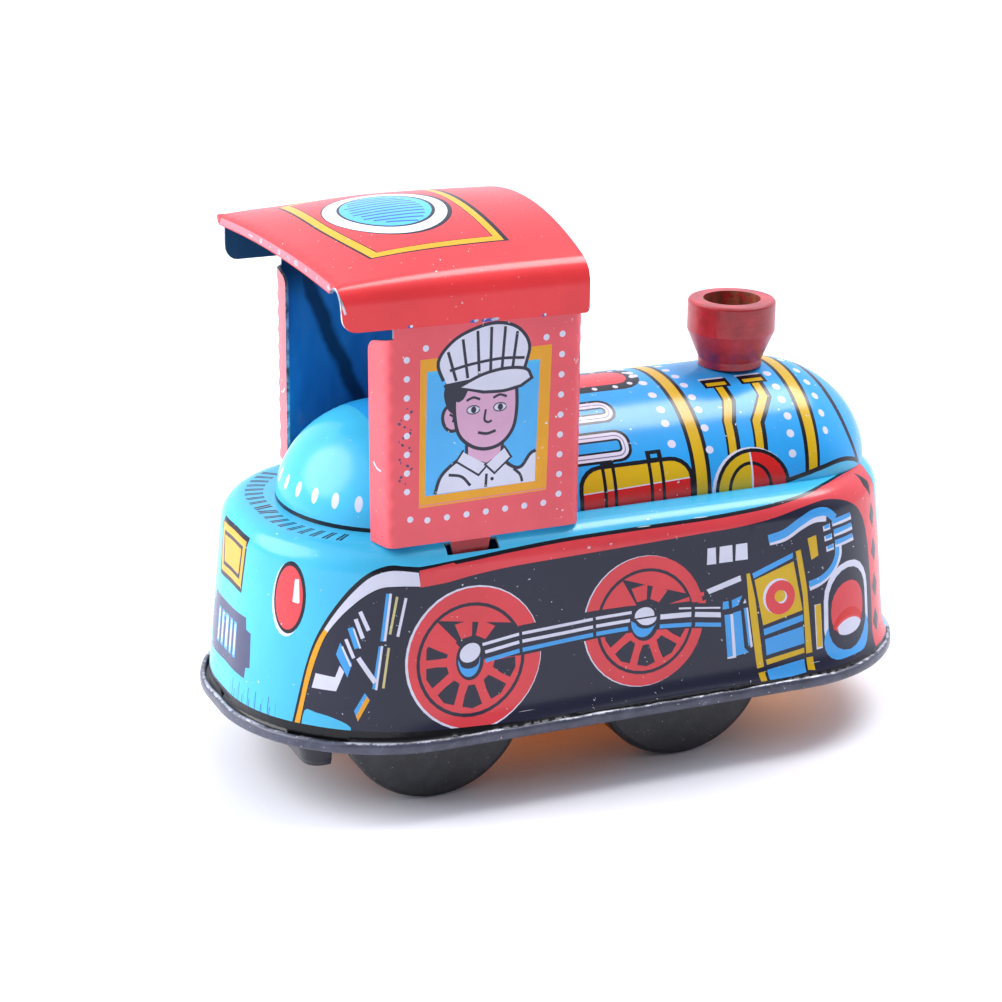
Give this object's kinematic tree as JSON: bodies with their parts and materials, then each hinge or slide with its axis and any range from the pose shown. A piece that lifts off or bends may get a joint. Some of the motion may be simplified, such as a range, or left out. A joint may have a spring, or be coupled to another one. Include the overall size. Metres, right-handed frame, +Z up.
{
  "type": "tin clockwork train locomotive",
  "caption": "Small printed-tin toy locomotive with an open-backed cab, wooden chimney, black wheels and a side-wound spring motor inside.",
  "frame": {"origin": "on the ground under the middle of the base plate, in the plane that the four wheels stand on", "axes": "+X forward along the train, +Z up, +Y to the train's left, the side with the key"},
  "size_m": [0.09, 0.06, 0.068],
  "materials": {
    "printed_body": "glossy lithographed tinplate",
    "printed_cab": "glossy lithographed tinplate, blue inside",
    "printed_roof": "glossy lithographed tinplate, blue inside",
    "black_tin": "black lacquered tinplate, worn bright at the crimp",
    "black_wheel": "satin black",
    "chimney_wood": "turned wood, painted dark red, chipped in the bore",
    "steel": "plain",
    "spring_steel": "blued and oiled",
    "brass": "stamped"
  },
  "bodies": {
    "body": {"body_shell": "printed_body", "base_plate": "black_tin", "cab_wall": "printed_cab", "cab_roof": "printed_roof", "chimney": "chimney_wood", "chimney_nail": "steel", "motor_plate_left": "steel", "motor_plate_right": "steel", "pillar_rear_low": "brass", "pillar_rear_high": "brass", "pillar_front_high": "brass", "spring_post": "brass", "mainspring": "spring_steel"},
    "rear_wheels": {"rear_axle": "steel", "rear_axle_pinion": "brass", "rear_wheel_left": "black_wheel", "rear_wheel_right": "black_wheel"},
    "front_wheels": {"front_axle": "steel", "front_wheel_left": "black_wheel", "front_wheel_right": "black_wheel"},
    "great_wheel": {"great_wheel": "brass", "click_rivet": "steel", "click_spring": "spring_steel"},
    "click": {"click": "spring_steel"},
    "key": {"winding_arbor": "steel", "ratchet_wheel": "steel", "winding_key": "steel"},
    "second_wheel": {"second_arbor": "steel", "second_pinion": "brass", "second_wheel": "brass"},
    "escape_wheel": {"escape_arbor": "steel", "escape_pinion": "brass", "escape_wheel": "brass"},
    "pallet": {"pallet_arbor": "steel", "pallet": "spring_steel"}
  },
  "joints": [
    {"name": "rear_axle_spin", "type": "hinge", "parent": "body", "child": "rear_wheels", "pos_m": [-0.023, 0, 0.0115], "axis": [0, 1, 0], "continuous": true, "deforming": ["mainspring"]},
    {"name": "front_axle_spin", "type": "hinge", "parent": "body", "child": "front_wheels", "pos_m": [0.0095, 0, 0.0115], "axis": [0, 1, 0], "continuous": true},
    {"name": "second_wheel_spin", "type": "hinge", "parent": "body", "child": "second_wheel", "pos_m": [-0.0122, 0, 0.01799], "axis": [0, 1, 0], "continuous": true},
    {"name": "great_wheel_spin", "type": "hinge", "parent": "body", "child": "great_wheel", "pos_m": [0.00113, 0, 0.02156], "axis": [0, 1, 0], "continuous": true},
    {"name": "escape_wheel_spin", "type": "hinge", "parent": "body", "child": "escape_wheel", "pos_m": [-0.0161, 0, 0.0287], "axis": [0, 1, 0], "continuous": true},
    {"name": "key_wind", "type": "hinge", "parent": "great_wheel", "child": "key", "pos_m": [0.00113, 0, 0.02156], "axis": [0, 1, 0], "continuous": true, "deforming": ["mainspring"]},
    {"name": "click_lift", "type": "hinge", "parent": "great_wheel", "child": "click", "pos_m": [0.00493, 0, 0.02814], "axis": [0, -1, 0], "range_deg": [0, 14], "stiffness_Nm_per_rad": 0.0001},
    {"name": "pallet_rock", "type": "hinge", "parent": "body", "child": "pallet", "pos_m": [-0.0161, 0, 0.0369], "axis": [0, 1, 0], "range_deg": [-8, 8]}
  ],
  "couplings": [
    {"joint": "second_wheel_spin", "follows": "rear_axle_spin", "ratio": -0.4},
    {"joint": "great_wheel_spin", "follows": "rear_axle_spin", "ratio": 0.11111},
    {"joint": "escape_wheel_spin", "follows": "rear_axle_spin", "ratio": 1.5}
  ]
}
